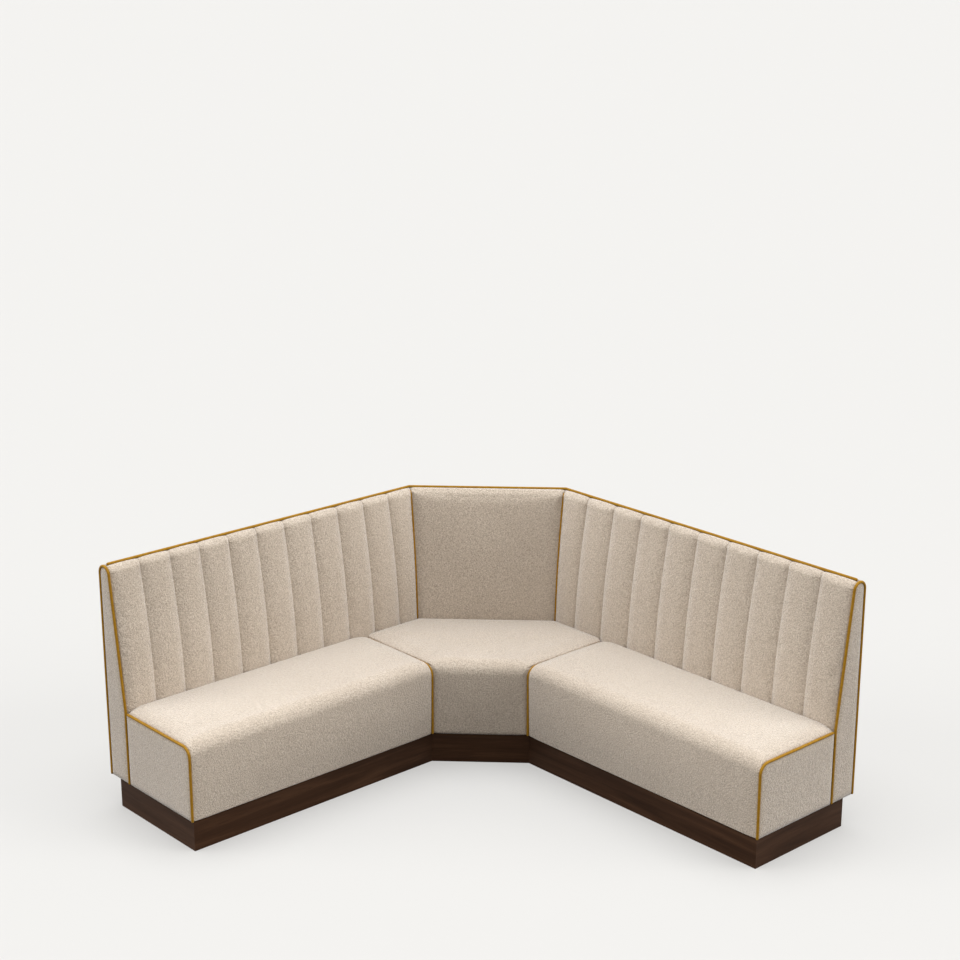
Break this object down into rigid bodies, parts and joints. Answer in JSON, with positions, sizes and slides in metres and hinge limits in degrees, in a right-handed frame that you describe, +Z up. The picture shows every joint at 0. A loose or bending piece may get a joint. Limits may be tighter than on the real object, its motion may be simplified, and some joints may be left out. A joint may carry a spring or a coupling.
{
  "type": "upholstered banquette bench",
  "caption": "Corner banquette bench with fluted upholstered backs, a slanted plain corner, crowned seats edged with piping and a recessed wooden plinth.",
  "frame": {"origin": "on the floor, in the middle of the bench's overall box", "axes": "+Z up. The corner of the room is towards +X and +Y: the left side runs along X with its back against the wall at +Y, the right side runs along Y with its back against the wall at +X."},
  "size_m": [2.2, 2.245, 1.1],
  "materials": {
    "upholstery": "textured weave",
    "piping": "smooth woven",
    "walnut": "satin",
    "plywood": "raw",
    "softwood": "raw",
    "steel": "zinc plated"
  },
  "bodies": {
    "root": {"plinth_front_left": "walnut", "plinth_front_corner": "walnut", "plinth_front_right": "walnut", "plinth_end_left": "walnut", "plinth_end_right": "walnut", "plinth_rear_left": "walnut", "plinth_rear_corner": "walnut", "plinth_rear_right": "walnut", "plinth_cross_pieces": "softwood", "seat_front_board_left": "plywood", "seat_front_board_corner": "plywood", "seat_front_board_right": "plywood", "seat_rear_board_left": "plywood", "seat_rear_boards_corner": "plywood", "seat_rear_board_right": "plywood", "seat_end_boards_left": "plywood", "seat_end_boards_corner": "plywood", "seat_end_boards_right": "plywood", "seat_ribs_left": "plywood", "seat_ribs_corner": "plywood", "seat_ribs_right": "plywood", "seat_deck_left": "plywood", "seat_deck_corner": "plywood", "seat_deck_right": "plywood", "seat_cushion_left": "upholstery", "seat_cushion_corner": "upholstery", "seat_cushion_right": "upholstery", "seat_front_pad_left": "upholstery", "seat_front_pad_corner": "upholstery", "seat_front_pad_right": "upholstery", "seat_end_pad_left": "upholstery", "seat_end_pad_right": "upholstery", "back_ribs_left": "plywood", "back_ribs_corner": "plywood", "back_ribs_right": "plywood", "back_rails_left": "softwood", "back_rails_corner": "softwood", "back_rails_right": "softwood", "back_board_left": "plywood", "back_board_corner": "plywood", "back_board_right": "plywood", "back_pad_left": "upholstery", "back_pad_corner": "upholstery", "back_pad_right": "upholstery", "back_rear_cover_left": "upholstery", "back_rear_cover_corner": "upholstery", "back_rear_cover_right": "upholstery", "back_end_pad_left": "upholstery", "back_end_pad_right": "upholstery", "top_piping": "piping", "back_end_piping_left": "piping", "back_end_piping_right": "piping", "back_joint_piping": "piping", "seat_end_piping_left": "piping", "seat_end_piping_right": "piping", "seat_joint_piping": "piping", "joining_bolts": "steel", "joining_nuts": "steel", "back_screws": "steel"}
  },
  "joints": []
}
